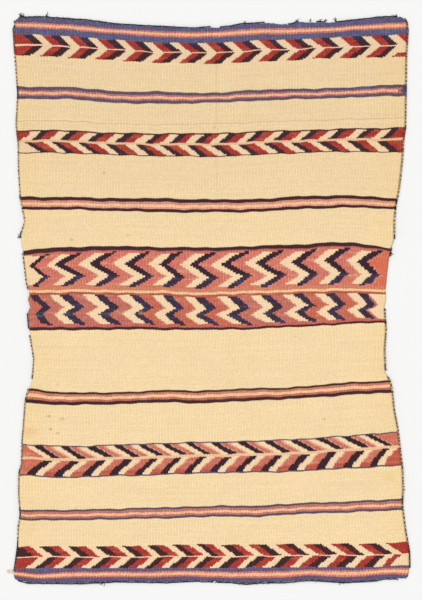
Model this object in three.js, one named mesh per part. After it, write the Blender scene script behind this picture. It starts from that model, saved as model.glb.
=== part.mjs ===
// Banded blanket laid out flat: one woven cloth, drawn in at the waist, with what is left of the
// twined cords along its four edges. +X is to the right, +Y towards the top end, +Z up.
import * as THREE from "three";

// Driving sizes, in millimetres
const CLOTH_WIDTH = 1270;
const CLOTH_LENGTH = 1822;
const CLOTH_THICKNESS = 2.4;
const STEPS_ACROSS = 34;
const STEPS_ALONG = 60;
const CORD_RADIUS = 2.2;
const CORD_SIDES = 6;
const LOOSE_END_RADIUS = 1.6;
const SEAT_GAP = 0.3;
const PLACE_PASSES = 4;
const CLEAR_OF_CUT = 4;

// Colours of the yarns
const CREAM = 0xf0d6ab;
const INDIGO = 0x2b2a44;
const PALE_PEACH = 0xf0cfa6;

// Each selvedge wanders in from a straight line. The rows are taken down the cloth from its top end:
// down is the distance from the top line, inset how far the selvedge is drawn in there.
const LEFT_SELVEDGE = [
  { down: 3, inset: 17 }, { down: 8, inset: 10 }, { down: 13, inset: 4 }, { down: 32, inset: 4 },
  { down: 42, inset: 0 }, { down: 107, inset: 4 }, { down: 250, inset: 15 },
  { down: 290, inset: 12 }, { down: 350, inset: 9 },
  { down: 405, inset: 16 }, { down: 491, inset: 17 }, { down: 587, inset: 23 },
  { down: 658, inset: 38 }, { down: 690, inset: 27 }, { down: 712, inset: 20 },
  { down: 754, inset: 30 }, { down: 859, inset: 43 }, { down: 885, inset: 51 },
  { down: 910, inset: 46 }, { down: 933, inset: 53 }, { down: 952, inset: 46 },
  { down: 1006, inset: 50 }, { down: 1099, inset: 66 }, { down: 1166, inset: 61 },
  { down: 1195, inset: 49 }, { down: 1240, inset: 38 }, { down: 1282, inset: 35 },
  { down: 1368, inset: 28 }, { down: 1435, inset: 27 }, { down: 1470, inset: 18 },
  { down: 1541, inset: 18 }, { down: 1600, inset: 23 }, { down: 1640, inset: 16 },
  { down: 1701, inset: 14 }, { down: 1746, inset: 8 }, { down: 1768, inset: 5 },
  { down: 1794, inset: 0 }, { down: 1804, inset: 2 }, { down: 1808, inset: 5 },
];
const RIGHT_SELVEDGE = [
  { down: 4, inset: 22 }, { down: 10, inset: 14 }, { down: 19, inset: 9 }, { down: 46, inset: 6 },
  { down: 133, inset: 11 }, { down: 302, inset: 13 }, { down: 357, inset: 14 },
  { down: 389, inset: 19 }, { down: 450, inset: 23 }, { down: 520, inset: 30 },
  { down: 565, inset: 36 }, { down: 606, inset: 45 }, { down: 660, inset: 50 },
  { down: 722, inset: 50 }, { down: 745, inset: 60 }, { down: 782, inset: 66 },
  { down: 818, inset: 70 }, { down: 878, inset: 76 }, { down: 911, inset: 74 },
  { down: 938, inset: 81 }, { down: 1003, inset: 76 }, { down: 1067, inset: 81 },
  { down: 1147, inset: 79 }, { down: 1170, inset: 64 }, { down: 1200, inset: 57 },
  { down: 1266, inset: 50 }, { down: 1326, inset: 38 }, { down: 1397, inset: 30 },
  { down: 1458, inset: 23 }, { down: 1518, inset: 22 }, { down: 1570, inset: 24 },
  { down: 1653, inset: 13 }, { down: 1720, inset: 1 }, { down: 1758, inset: 0 },
  { down: 1786, inset: 0 }, { down: 1791, inset: 3 }, { down: 1800, inset: 4 },
  { down: 1804, inset: 8 }, { down: 1807, inset: 18 },
];
// The end selvedges: across is the distance from the left line.
const TOP_SELVEDGE = [
  { across: 15, inset: 5 }, { across: 80, inset: 3 }, { across: 132, inset: 6 },
  { across: 231, inset: 13 }, { across: 330, inset: 26 }, { across: 407, inset: 31 },
  { across: 580, inset: 40 }, { across: 628, inset: 35 }, { across: 660, inset: 37 },
  { across: 698, inset: 33 }, { across: 727, inset: 26 }, { across: 813, inset: 21 },
  { across: 861, inset: 25 }, { across: 890, inset: 26 }, { across: 912, inset: 19 },
  { across: 1034, inset: 20 }, { across: 1076, inset: 15 }, { across: 1137, inset: 9 },
  { across: 1170, inset: 4 }, { across: 1242, inset: 2 }, { across: 1248, inset: 4 },
];
const BOTTOM_SELVEDGE = [
  { across: 4, inset: 13 }, { across: 14, inset: 11 }, { across: 29, inset: 8 },
  { across: 48, inset: 3 }, { across: 215, inset: 2 }, { across: 330, inset: 8 },
  { across: 493, inset: 5 }, { across: 580, inset: 10 }, { across: 698, inset: 5 },
  { across: 745, inset: 0 }, { across: 813, inset: 5 }, { across: 861, inset: 5 },
  { across: 948, inset: 13 }, { across: 1005, inset: 9 }, { across: 1060, inset: 5 },
  { across: 1117, inset: 8 }, { across: 1163, inset: 11 }, { across: 1189, inset: 17 },
  { across: 1252, inset: 17 },
];

// Soft rises where the drawn-in selvedges and the tight end cords lift the cloth off the surface.
// across and down give the middle, wide and long the reach each way, rise the height.
const RISES = [
  { across: 60, down: 905, wide: 80, long: 120, rise: 4.5 },
  { across: 1190, down: 1150, wide: 75, long: 110, rise: 4 },
  { across: 1215, down: 705, wide: 60, long: 90, rise: 3.5 },
  { across: 35, down: 640, wide: 60, long: 90, rise: 3 },
  { across: 55, down: 1185, wide: 70, long: 80, rise: 3 },
  { across: 600, down: 45, wide: 170, long: 50, rise: 3 },
  { across: 330, down: 35, wide: 90, long: 40, rise: 2 },
  { across: 1000, down: 25, wide: 120, long: 40, rise: 2.5 },
  { across: 930, down: 1795, wide: 140, long: 45, rise: 2.5 },
  { across: 300, down: 1800, wide: 150, long: 40, rise: 2 },
  { across: 1235, down: 1500, wide: 50, long: 120, rise: 2.5 },
  { across: 25, down: 1560, wide: 50, long: 130, rise: 2.5 },
];
const RISE_THRESHOLD = 0.5;

// The stretches of cord that are left, from and to along the edge, in the same distances.
const CORD_STRETCHES = [
  { name: "side_cord_left_1", edge: "left", from: 14, to: 704 },
  { name: "side_cord_left_2", edge: "left", from: 760, to: 876 },
  { name: "side_cord_left_3", edge: "left", from: 953, to: 1003 },
  { name: "side_cord_left_4", edge: "left", from: 1024, to: 1164 },
  { name: "side_cord_left_5", edge: "left", from: 1197, to: 1783 },
  { name: "side_cord_right_1", edge: "right", from: 8, to: 712 },
  { name: "side_cord_right_2", edge: "right", from: 742, to: 770 },
  { name: "side_cord_right_3", edge: "right", from: 938, to: 1132 },
  { name: "side_cord_right_4", edge: "right", from: 1158, to: 1771 },
  { name: "end_cord_top_1", edge: "top", from: 22, to: 632 },
  { name: "end_cord_top_2", edge: "top", from: 662, to: 806 },
  { name: "end_cord_top_3", edge: "top", from: 880, to: 915 },
  { name: "end_cord_top_4", edge: "top", from: 972, to: 1000 },
  { name: "end_cord_top_5", edge: "top", from: 1032, to: 1232 },
  { name: "end_cord_bottom_1", edge: "bottom", from: 14, to: 640 },
  { name: "end_cord_bottom_2", edge: "bottom", from: 652, to: 1236 },
];

// The pale turn of weft that sticks out at the left, low down: it starts against the side cord there
// and comes back to the side. Its route is how far out it lies and how far on down.
const LOOSE_WEFT_START = 1779;
const LOOSE_WEFT_ROUTE = [
  { out: 0, on: 0 }, { out: 8, on: -0.5 }, { out: 15, on: 0 }, { out: 19, on: 3.5 },
  { out: 15, on: 7 }, { out: 8, on: 7.5 }, { out: 1, on: 7 },
];

// Straight steps between the rows of a selvedge table.
function inset(rows, key, at) {
  if (at <= rows[0][key]) {
    return rows[0].inset;
  }
  for (let i = 1; i < rows.length; i += 1) {
    if (at <= rows[i][key]) {
      const share = (at - rows[i - 1][key]) / (rows[i][key] - rows[i - 1][key]);
      return THREE.MathUtils.lerp(rows[i - 1].inset, rows[i].inset, share);
    }
  }
  return rows[rows.length - 1].inset;
}

// Height of the cloth's underside: flat on the surface but for the soft rises.
function lift(across, down) {
  let height = -RISE_THRESHOLD;
  for (const bump of RISES) {
    const x = (across - bump.across) / bump.wide;
    const y = (down - bump.down) / bump.long;
    height += bump.rise * Math.exp(-x * x - y * y);
  }
  return Math.max(0, height);
}

// A place on the cloth: u runs 0 to 1 from the left selvedge to the right, v from the top end to the bottom.
function clothPlace(u, v) {
  let across = u * CLOTH_WIDTH;
  let down = v * CLOTH_LENGTH;
  for (let pass = 0; pass < PLACE_PASSES; pass += 1) {
    const left = inset(LEFT_SELVEDGE, "down", down);
    const right = CLOTH_WIDTH - inset(RIGHT_SELVEDGE, "down", down);
    across = THREE.MathUtils.lerp(left, right, u);
    const top = inset(TOP_SELVEDGE, "across", across);
    const bottom = CLOTH_LENGTH - inset(BOTTOM_SELVEDGE, "across", across);
    down = THREE.MathUtils.lerp(top, bottom, v);
  }
  return { across, down, height: lift(across, down) };
}

function toPoint(across, down, z) {
  return new THREE.Vector3(across - CLOTH_WIDTH / 2, CLOTH_LENGTH / 2 - down, z);
}

// The cloth: a thin box whose grid is bent to the selvedges and the rises.
function makeCloth() {
  const geometry = new THREE.BoxGeometry(1, 1, 1, STEPS_ACROSS, STEPS_ALONG, 1);
  const places = geometry.getAttribute("position");
  for (let i = 0; i < places.count; i += 1) {
    const place = clothPlace(places.getX(i) + 0.5, 0.5 - places.getY(i));
    const isFace = places.getZ(i) > 0;
    const point = toPoint(place.across, place.down, place.height + (isFace ? CLOTH_THICKNESS : 0));
    places.setXYZ(i, point.x, point.y, point.z);
  }
  geometry.computeVertexNormals();
  const material = new THREE.MeshStandardMaterial({ color: CREAM, roughness: 0.95, metalness: 0 });
  const mesh = new THREE.Mesh(geometry, material);
  mesh.name = "cloth";
  return mesh;
}

// A closed round rod through a list of centres, each with the level direction that its ring opens to.
function makeRod(name, color, radius, centres, sideways) {
  const rings = centres.length;
  const geometry = new THREE.CylinderGeometry(1, 1, 1, CORD_SIDES, rings - 1, false);
  const places = geometry.getAttribute("position");
  for (let i = 0; i < places.count; i += 1) {
    const ring = Math.round((0.5 - places.getY(i)) * (rings - 1));
    const out = places.getX(i) * radius;
    const up = places.getZ(i) * radius;
    const point = centres[ring].clone().addScaledVector(sideways[ring], out);
    point.z += up;
    places.setXYZ(i, point.x, point.y, point.z);
  }
  geometry.computeVertexNormals();
  const material = new THREE.MeshStandardMaterial({ color, roughness: 0.9, metalness: 0 });
  const mesh = new THREE.Mesh(geometry, material);
  mesh.name = name;
  return mesh;
}

// Places along one selvedge at the cloth's own steps, so that a cord follows it exactly.
function selvedgePlaces(edge) {
  const alongSide = edge === "left" || edge === "right";
  const steps = alongSide ? STEPS_ALONG : STEPS_ACROSS;
  const fixed = edge === "right" || edge === "bottom" ? 1 : 0;
  const places = [];
  for (let i = 0; i <= steps; i += 1) {
    const share = i / steps;
    places.push(alongSide ? clothPlace(fixed, share) : clothPlace(share, fixed));
  }
  return places;
}

// The place at a distance along a selvedge, worked out on its straight steps.
function placeAt(places, key, at) {
  const i = places.findIndex((place) => place[key] >= at);
  const share = (at - places[i - 1][key]) / (places[i][key] - places[i - 1][key]);
  const mix = (part) => THREE.MathUtils.lerp(places[i - 1][part], places[i][part], share);
  return { across: mix("across"), down: mix("down"), height: mix("height") };
}

// The stretch of a selvedge between two distances: its cut ends and the steps well inside them.
function stretchOf(places, key, from, to) {
  const inner = places.filter((place) => place[key] > from + CLEAR_OF_CUT && place[key] < to - CLEAR_OF_CUT);
  return [placeAt(places, key, from), ...inner, placeAt(places, key, to)];
}

// A stretch of edge cord: it lies outside the selvedge and rests at the cloth's own level.
function makeCord({ name, edge, from, to }) {
  const key = edge === "left" || edge === "right" ? "down" : "across";
  const points = stretchOf(selvedgePlaces(edge), key, from, to).map((place) =>
    toPoint(place.across, place.down, place.height),
  );
  const outward = { left: [-1, 0], right: [1, 0], top: [0, 1], bottom: [0, -1] }[edge];
  const outside = new THREE.Vector3(outward[0], outward[1], 0);
  const normals = points.slice(1).map((point, i) => {
    const run = point.clone().sub(points[i]).setZ(0).normalize();
    const side = new THREE.Vector3(run.y, -run.x, 0);
    return side.dot(outside) < 0 ? side.negate() : side;
  });
  const centres = [];
  const sideways = [];
  points.forEach((point, i) => {
    const before = normals[Math.max(0, i - 1)];
    const after = normals[Math.min(normals.length - 1, i)];
    const mean = before.clone().add(after).normalize();
    const reach = (CORD_RADIUS + SEAT_GAP) / mean.dot(after);
    const centre = point.clone().addScaledVector(mean, reach);
    centre.z += CORD_RADIUS;
    centres.push(centre);
    sideways.push(mean);
  });
  return makeRod(name, INDIGO, CORD_RADIUS, orient(centres, sideways), sideways);
}

// Rods are built from first ring to last: the rings turn so that the faces point out on every edge.
function orient(centres, sideways) {
  const run = centres[1].clone().sub(centres[0]).setZ(0);
  const turn = new THREE.Vector3().crossVectors(sideways[0], run).z;
  if (turn > 0) {
    sideways.forEach((side) => side.negate());
  }
  return centres;
}

// The loose turn of weft lies on the surface as a short bent strand, its root against the side cord.
function makeLooseWeftEnd() {
  const { across } = placeAt(selvedgePlaces("left"), "down", LOOSE_WEFT_START);
  const cordReach = CORD_RADIUS * (1 + Math.cos(Math.PI / CORD_SIDES));
  const start = across - SEAT_GAP - cordReach - SEAT_GAP;
  const centres = LOOSE_WEFT_ROUTE.map(({ out, on }) =>
    toPoint(start - out, LOOSE_WEFT_START + on, LOOSE_END_RADIUS),
  );
  const sideways = centres.map((centre, i) => {
    const run = centres[Math.min(i + 1, centres.length - 1)].clone().sub(centres[Math.max(i - 1, 0)]);
    return new THREE.Vector3(run.y, -run.x, 0).normalize();
  });
  return makeRod("loose_weft_end", PALE_PEACH, LOOSE_END_RADIUS, orient(centres, sideways), sideways);
}

// Put together, with the middle of the footprint at the origin and the underside at zero height.
const blanket = new THREE.Group();
blanket.add(makeCloth());
CORD_STRETCHES.forEach((stretch) => blanket.add(makeCord(stretch)));
blanket.add(makeLooseWeftEnd());
const footprint = new THREE.Box3().setFromObject(blanket, true).getCenter(new THREE.Vector3());
blanket.position.set(-footprint.x, -footprint.y, 0);

export default blanket;
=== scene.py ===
import math
import random
import bpy
import numpy as np
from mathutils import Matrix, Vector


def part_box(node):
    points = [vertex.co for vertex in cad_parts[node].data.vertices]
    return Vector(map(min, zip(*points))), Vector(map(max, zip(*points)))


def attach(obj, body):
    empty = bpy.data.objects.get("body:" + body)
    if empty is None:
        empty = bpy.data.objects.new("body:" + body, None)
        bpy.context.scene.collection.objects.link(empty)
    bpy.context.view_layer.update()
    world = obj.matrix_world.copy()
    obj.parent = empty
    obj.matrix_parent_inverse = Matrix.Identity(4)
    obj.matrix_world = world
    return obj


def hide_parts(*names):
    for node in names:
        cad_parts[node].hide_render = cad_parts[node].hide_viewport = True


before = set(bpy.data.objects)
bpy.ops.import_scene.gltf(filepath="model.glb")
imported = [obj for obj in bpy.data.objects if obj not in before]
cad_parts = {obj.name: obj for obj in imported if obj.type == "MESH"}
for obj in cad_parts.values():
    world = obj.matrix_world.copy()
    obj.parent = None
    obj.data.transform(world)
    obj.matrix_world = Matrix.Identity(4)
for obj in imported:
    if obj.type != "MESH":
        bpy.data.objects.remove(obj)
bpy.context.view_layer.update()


# The view
# The blanket is seen straight from above, from far enough off that its edges stay square. The
# picture's long side takes in a little more floor than the cloth covers.
cloth_low, cloth_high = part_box("cloth")
middle = (cloth_low + cloth_high) / 2
VIEW_HEIGHT = 4.5
VIEW_LENGTH = 1.9284
VIEW_ASIDE = -0.0016
FILM_SIDE = 36.0


def put_in(name, data):
    """Put a new object into the scene."""
    thing = bpy.data.objects.new(name, data)
    bpy.context.scene.collection.objects.link(thing)
    return thing


view_data = bpy.data.cameras.new("view_from_above")
view_data.sensor_width = FILM_SIDE
view_data.lens = FILM_SIDE * VIEW_HEIGHT / VIEW_LENGTH
view = put_in("view_from_above", view_data)
view.location = (middle.x + VIEW_ASIDE, middle.y, VIEW_HEIGHT)
bpy.context.scene.camera = view
bpy.context.scene.view_settings.view_transform = "Standard"
bpy.context.scene.view_settings.look = "None"


# The floor and the light
# A plain pale floor, just under the cloth, and the even light of a studio: pale all round, with one
# broad soft lamp from the upper left that brings out the ribs of the weave a little.
FLOOR_SIDE = 14.0
FLOOR_DROP = 0.0004
FLOOR_PALE = (0.86, 0.86, 0.855, 1)
FLOOR_SHADE = 0.985
FLOOR_GRAIN = 3.0
FLOOR_ROUGHNESS = 0.9
SKY_PALE = (1.0, 0.997, 0.99, 1)
SKY_STRENGTH = 0.80
LAMP_PLACE = (-2.2, 1.9, 4.2)
LAMP_SPREAD = 30.0
LAMP_STRENGTH = 1.12


def connect(tree, node, inputs):
    """Set a node's inputs by name or number: a socket is linked, any other value is written in."""
    for key, value in inputs.items():
        if isinstance(value, bpy.types.NodeSocket):
            tree.links.new(value, node.inputs[key])
        else:
            node.inputs[key].default_value = value
    return node


def put(tree, kind, inputs=None, **settings):
    """Add one shader node with its settings and inputs."""
    node = tree.nodes.new(kind)
    for key, value in settings.items():
        setattr(node, key, value)
    return connect(tree, node, inputs or {})


def bare_material(name):
    """A new material with its shader, ready for nodes."""
    material = bpy.data.materials.new(name)
    material.use_nodes = True
    return material, material.node_tree, material.node_tree.nodes["Principled BSDF"]


floor_mesh = bpy.data.meshes.new("floor")
half = FLOOR_SIDE / 2
floor_mesh.from_pydata(
    [(-half, -half, 0), (half, -half, 0), (half, half, 0), (-half, half, 0)], [], [(0, 1, 2, 3)]
)
floor = put_in("floor", floor_mesh)
floor.location = (middle.x, middle.y, -FLOOR_DROP)
floor_paint, tree, shader = bare_material("pale floor")
grain = put(tree, "ShaderNodeTexNoise", {"Scale": FLOOR_GRAIN, "Detail": 3.0}).outputs["Fac"]
shade = tuple(FLOOR_SHADE * part for part in FLOOR_PALE[:3]) + (1,)
shades = put(tree, "ShaderNodeMix", {0: grain, 6: FLOOR_PALE, 7: shade}, data_type="RGBA")
connect(tree, shader, {"Base Color": shades.outputs[2], "Roughness": FLOOR_ROUGHNESS})
floor_mesh.materials.append(floor_paint)

sky = bpy.context.scene.world or bpy.data.worlds.new("studio")
bpy.context.scene.world = sky
sky.use_nodes = True
connect(sky.node_tree, sky.node_tree.nodes["Background"], {"Color": SKY_PALE, "Strength": SKY_STRENGTH})
lamp_data = bpy.data.lights.new("soft_lamp", "SUN")
lamp_data.angle = math.radians(LAMP_SPREAD)
lamp_data.energy = LAMP_STRENGTH
lamp = put_in("soft_lamp", lamp_data)
lamp.location = LAMP_PLACE
lamp.rotation_euler = (-lamp.location).to_track_quat("-Z", "Y").to_euler()


# The cloth's outline and how it lies
# The blanket came off the loom near a rectangle and has been drawn in at the waist since. Its four
# selvedges wander in from straight lines, and here and there an edge lifts off the floor.
MM = 0.001
CLOTH_WIDTH = 1270.0
CLOTH_LENGTH = 1822.0
CLOTH_THICKNESS = 2.4
PLACE_PASSES = 4
# columns: distance down from the top line, how far the selvedge is drawn in there, in millimetres
LEFT_SELVEDGE = [
    (3, 17), (8, 10), (13, 4), (32, 4), (42, 0), (107, 4), (250, 15), (290, 12), (350, 9),
    (405, 16), (491, 17),
    (587, 23), (658, 38), (690, 27), (712, 20), (754, 30), (859, 43), (885, 51), (910, 46),
    (933, 53), (952, 46), (1006, 50), (1099, 66), (1166, 61), (1195, 49), (1240, 38), (1282, 35),
    (1368, 28), (1435, 27), (1470, 18), (1541, 18), (1600, 23), (1640, 16), (1701, 14), (1746, 8),
    (1768, 5), (1794, 0), (1804, 2), (1808, 5),
]
RIGHT_SELVEDGE = [
    (4, 22), (10, 14), (19, 9), (46, 6), (133, 11), (302, 13), (357, 14), (389, 19), (450, 23),
    (520, 30), (565, 36), (606, 45), (660, 50), (722, 50), (745, 60), (782, 66), (818, 70),
    (878, 76), (911, 74), (938, 81), (1003, 76), (1067, 81), (1147, 79), (1170, 64), (1200, 57),
    (1266, 50), (1326, 38), (1397, 30), (1458, 23), (1518, 22), (1570, 24), (1653, 13), (1720, 1),
    (1758, 0), (1786, 0), (1791, 3), (1800, 4), (1804, 8), (1807, 18),
]
# columns: distance across from the left line, how far the end is drawn in there
TOP_SELVEDGE = [
    (15, 5), (80, 3), (132, 6), (231, 13), (330, 26), (407, 31), (580, 40), (628, 35), (660, 37),
    (698, 33), (727, 26), (813, 21), (861, 25), (890, 26), (912, 19), (1034, 20), (1076, 15),
    (1137, 9), (1170, 4), (1242, 2), (1248, 4),
]
BOTTOM_SELVEDGE = [
    (4, 13), (14, 11), (29, 8), (48, 3), (215, 2), (330, 8), (493, 5), (580, 10), (698, 5),
    (745, 0), (813, 5), (861, 5), (948, 13), (1005, 9), (1060, 5), (1117, 8), (1163, 11),
    (1189, 17), (1252, 17),
]
# columns: middle across, middle down, reach across, reach down, height of the rise
RISES = [
    (60, 905, 80, 120, 4.5), (1190, 1150, 75, 110, 4), (1215, 705, 60, 90, 3.5),
    (35, 640, 60, 90, 3), (55, 1185, 70, 80, 3), (600, 45, 170, 50, 3), (330, 35, 90, 40, 2),
    (1000, 25, 120, 40, 2.5), (930, 1795, 140, 45, 2.5), (300, 1800, 150, 40, 2),
    (1235, 1500, 50, 120, 2.5), (25, 1560, 50, 130, 2.5),
]
RISE_THRESHOLD = 0.5


def drawn_in(table, at):
    """How far an edge is drawn in, at places along it."""
    return np.interp(at, *np.transpose(table))


def side_span(down):
    """Where the left and the right selvedge are at a depth."""
    return drawn_in(LEFT_SELVEDGE, down), CLOTH_WIDTH - drawn_in(RIGHT_SELVEDGE, down)


def across_at(share, down):
    """Distance across of the warp that stands at this share of the width."""
    left, right = side_span(down)
    return left + share * (right - left)


def end_line(shares, at_top):
    """Depth of the top or bottom selvedge at each warp."""
    table = TOP_SELVEDGE if at_top else BOTTOM_SELVEDGE
    down = np.full_like(shares, 0.0 if at_top else CLOTH_LENGTH)
    for _ in range(PLACE_PASSES):
        inset = drawn_in(table, across_at(shares, down))
        down = inset if at_top else CLOTH_LENGTH - inset
    return down


def lift(across, down):
    """Height of the cloth's underside off the floor."""
    height = -RISE_THRESHOLD
    for mid_across, mid_down, wide, long, rise in RISES:
        away = ((across - mid_across) / wide) ** 2 + ((down - mid_down) / long) ** 2
        height = height + rise * np.exp(-away)
    return np.maximum(0.0, height)


def from_middle(across, down):
    """From distances on the cloth to distances from its middle, both in millimetres."""
    return across - CLOTH_WIDTH / 2, CLOTH_LENGTH / 2 - down


def to_frame(across, down):
    """From distances on the cloth, in millimetres, to metres in the frame."""
    x, y = from_middle(across, down)
    return middle.x + x * MM, middle.y + y * MM


# The yarns and the weave
# Hand-spun wool, packed so tight that only the weft shows: it makes a rib over every warp, about
# five to the inch, and its colour wavers from one spinning or dyeing to the next.
WARPS = 255
SHOT = 1.15
# painted light and shade of the weave: ribs and shots are lighter at their crowns and darker in the
# grooves and gaps between, about the mean of their round profile
ROUND_MEAN = 2 / 3
SHOT_SHADE = 0.12
SHOT_HEIGHT = 0.3
BEAD_LENGTH = 3.1
BEAD_TINT = (0.15, 0.65, 1.5)
ODD_WARPS = 0.9
# how close the streaks and slubs of a yarn lie, across and down
STREAKS = (3.0, 0.22)
SLUBS = (60.0, 0.9)
STREAK_SHARE = 2.4
MOTTLE = 11.0
MOTTLE_SHADE = 0.07
FUZZ = 620.0
FUZZ_HEIGHT = 0.35
FLECKS = 210.0
FLECK_EDGES = (0.35, 0.65)
COOL_FLECK = (0.985, 1.0, 1.08, 1.0)
WARM_FLECK = (1.01, 0.99, 0.915, 1.0)
BUMP_DEPTH = 0.0007
BUMP_STRENGTH = 0.7
ROUGHNESS = 0.93
ROUGH_SPREAD = 0.08
SHEEN = 0.06
SHEEN_ROUGHNESS = 0.5
SPECULAR = 0.25
LIGHT_GAIN = 1.09


def dye(red, green, blue):
    """A yarn's colour as it looks in daylight, 0 to 255, as the share of light that it gives back."""
    parts = []
    for part in (red, green, blue):
        share = part / 255
        share = share / 12.92 if share <= 0.04045 else ((share + 0.055) / 1.055) ** 2.4
        parts.append(min(1.0, share / LIGHT_GAIN))
    return (*parts, 1.0)


def new_group(name, inputs, outputs):
    """A shader node group with named inputs and outputs."""
    tree = bpy.data.node_groups.new(name, "ShaderNodeTree")
    kinds = {3: "NodeSocketVector", 4: "NodeSocketColor"}
    for label, value in inputs.items():
        kind = kinds[len(value)] if isinstance(value, tuple) else "NodeSocketFloat"
        tree.interface.new_socket(label, in_out="INPUT", socket_type=kind).default_value = value
    for label, kind in outputs.items():
        tree.interface.new_socket(label, in_out="OUTPUT", socket_type=kind)
    return tree, tree.nodes.new("NodeGroupInput").outputs, tree.nodes.new("NodeGroupOutput")


def calc(tree, operation, *values):
    """One step of arithmetic on numbers and sockets."""
    node = put(tree, "ShaderNodeMath", operation=operation)
    return connect(tree, node, dict(enumerate(values))).outputs[0]


def vector_calc(tree, operation, *values):
    """One step of arithmetic on colours and places."""
    node = put(tree, "ShaderNodeVectorMath", operation=operation)
    return connect(tree, node, dict(enumerate(values))).outputs[0]


def scaled(tree, colour, factor):
    """A colour made lighter or darker."""
    return put(tree, "ShaderNodeVectorMath", {0: colour, "Scale": factor}, operation="SCALE").outputs[0]


def mixed(tree, share, first, second, way="MIX"):
    """Two colours mixed by a share."""
    node = put(tree, "ShaderNodeMix", {0: share, 6: first, 7: second}, data_type="RGBA", blend_type=way)
    return node.outputs[2]


def ramp(tree, value, start, end, low=0.0, high=1.0):
    """A value that goes from low to high between start and end."""
    inputs = {"Value": value, "From Min": start, "From Max": end, "To Min": low, "To Max": high}
    return put(tree, "ShaderNodeMapRange", inputs, interpolation_type="SMOOTHSTEP").outputs[0]


def crown(tree, value):
    """A round profile: 1 in the middle of each step of the value, 0 at its two ends."""
    centred = calc(tree, "SUBTRACT", calc(tree, "FRACT", value), 0.5)
    doubled = calc(tree, "MULTIPLY", calc(tree, "ABSOLUTE", centred), 2.0)
    return calc(tree, "SUBTRACT", 1.0, calc(tree, "POWER", doubled, 2.0))


def noise(tree, place, scale, detail=2.0, way="Fac"):
    """A cloudy pattern, which goes round 0.5."""
    inputs = {"Vector": place, "Scale": scale, "Detail": detail}
    return put(tree, "ShaderNodeTexNoise", inputs).outputs[way]


def swayed(tree, tone, pattern, reach):
    """A tone that goes up and down with a pattern that goes round 0.5."""
    return calc(tree, "MULTIPLY_ADD", calc(tree, "SUBTRACT", pattern, 0.5), reach, tone)


def laid_out(tree, x, y):
    """A place in a plane."""
    return put(tree, "ShaderNodeCombineXYZ", {"X": x, "Y": y}).outputs[0]


def across_and_down(tree, come, closeness):
    """The place across the cloth and the depth of the weft, each spread to how close a pattern lies."""
    across = put(tree, "ShaderNodeSeparateXYZ", {0: come["Place"]}).outputs["X"]
    spread_across = calc(tree, "MULTIPLY", across, closeness[0])
    return laid_out(tree, spread_across, calc(tree, "MULTIPLY", come["Weft"], closeness[1]))


# the weave itself: warp ribs and shots of weft with painted light and shade on them, fuzz and the waver
# of the yarn
weave, come, go = new_group(
    "handspun tapestry weave",
    {"Warp": 0.0, "Weft": 0.0, "Place": (0.0, 0.0, 0.0), "Yarn": (1.0, 1.0, 1.0, 1.0), "Abrash": 0.05,
     "Fuzz": 0.1, "Rib Shade": 0.35, "Beads": 0.1},
    {"Colour": "NodeSocketColor", "Roughness": "NodeSocketFloat", "Height": "NodeSocketFloat"},
)
rib = crown(weave, come["Warp"])
warp_number = calc(weave, "FLOOR", come["Warp"])
offset = calc(weave, "MULTIPLY", warp_number, 0.5)
shot = crown(weave, calc(weave, "ADD", calc(weave, "DIVIDE", come["Weft"], SHOT), offset))
streak = noise(weave, across_and_down(weave, come, STREAKS), 1.0, 3.0)
slub = noise(weave, across_and_down(weave, come, SLUBS), 1.0)
fuzz = noise(weave, come["Place"], FUZZ)
tone = swayed(weave, 1.0, streak, calc(weave, "MULTIPLY", come["Abrash"], STREAK_SHARE))
tone = swayed(weave, tone, slub, come["Abrash"])
tone = swayed(weave, tone, noise(weave, come["Place"], MOTTLE, 4.0), MOTTLE_SHADE)
tone = swayed(weave, tone, fuzz, come["Fuzz"])
# painted shade in the grooves between warps and the gaps between shots, and painted light on the crowns
# of the ribs and shots
groove_shade = calc(weave, "MULTIPLY_ADD", calc(weave, "SUBTRACT", rib, ROUND_MEAN), come["Rib Shade"], 1.0)
gap = calc(weave, "MULTIPLY_ADD", calc(weave, "SUBTRACT", shot, ROUND_MEAN), SHOT_SHADE, 1.0)
tone = calc(weave, "MULTIPLY", tone, calc(weave, "MULTIPLY", groove_shade, gap))
height = calc(weave, "MULTIPLY_ADD", shot, SHOT_HEIGHT, rib)
height = calc(weave, "MULTIPLY_ADD", fuzz, FUZZ_HEIGHT, height)
rough = swayed(weave, ROUGHNESS, fuzz, ROUGH_SPREAD)
# every second warp carries a yarn that is a little darker, and each bead of weft has its own tint
odd = calc(weave, "SUBTRACT", calc(weave, "FRACT", offset), 0.25)
odd = calc(weave, "MULTIPLY_ADD", calc(weave, "MULTIPLY", odd, come["Beads"]), ODD_WARPS, 1.0)
bead_number = calc(weave, "FLOOR", calc(weave, "DIVIDE", come["Weft"], BEAD_LENGTH))
cell = laid_out(weave, warp_number, bead_number)
bead = put(weave, "ShaderNodeTexWhiteNoise", {"Vector": cell}, noise_dimensions="2D").outputs
tone = calc(weave, "MULTIPLY", tone, odd)
tone = calc(weave, "MULTIPLY", tone, swayed(weave, 1.0, bead["Value"], come["Beads"]))
tint = vector_calc(weave, "SUBTRACT", bead["Color"], (0.5, 0.5, 0.5))
tint = scaled(weave, vector_calc(weave, "MULTIPLY", tint, BEAD_TINT), come["Beads"])
tint = vector_calc(weave, "ADD", tint, (1.0, 1.0, 1.0))
coloured = vector_calc(weave, "MULTIPLY", scaled(weave, come["Yarn"], tone), tint)
fleck = noise(weave, come["Place"], FLECKS)
coloured = mixed(weave, ramp(weave, fleck, *FLECK_EDGES), coloured, COOL_FLECK, "MULTIPLY")
coloured = mixed(weave, ramp(weave, fleck, *reversed(FLECK_EDGES)), coloured, WARM_FLECK, "MULTIPLY")
connect(weave, go, {"Colour": coloured, "Roughness": rough, "Height": height})
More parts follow.
